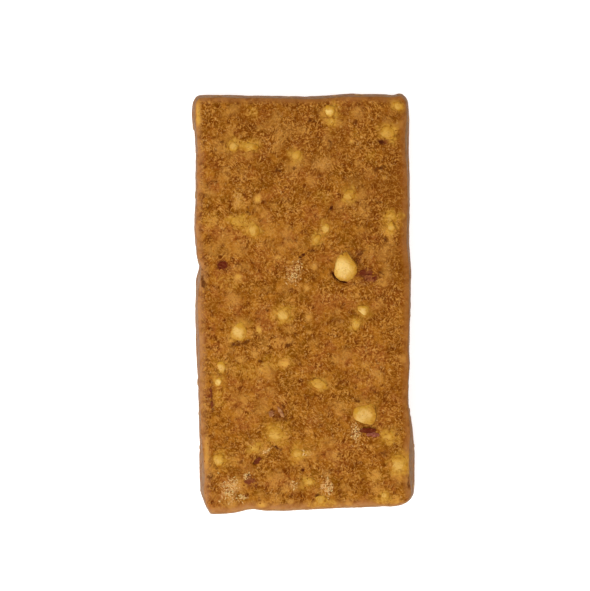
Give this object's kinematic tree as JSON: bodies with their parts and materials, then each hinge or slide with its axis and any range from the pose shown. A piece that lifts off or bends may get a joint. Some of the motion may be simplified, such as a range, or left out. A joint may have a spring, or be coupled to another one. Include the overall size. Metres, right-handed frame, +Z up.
{
  "type": "granola bar",
  "caption": "Unwrapped pressed bar of brown date paste with chopped peanuts, a flat slab with soft edges, lying on its underside.",
  "frame": {"origin": "on the flat underside, under the middle of the bar's box", "axes": "+Y along the bar, +X across it to the right as it is seen from above, +Z up out of the shown face"},
  "size_m": [0.0468, 0.09, 0.0125],
  "materials": {
    "fruit_paste": "sticky brown date paste, matt and finely grained, with a faint oily sheen; matte plastic stands in for it"
  },
  "bodies": {
    "root": {"bar": "fruit_paste"}
  },
  "joints": []
}
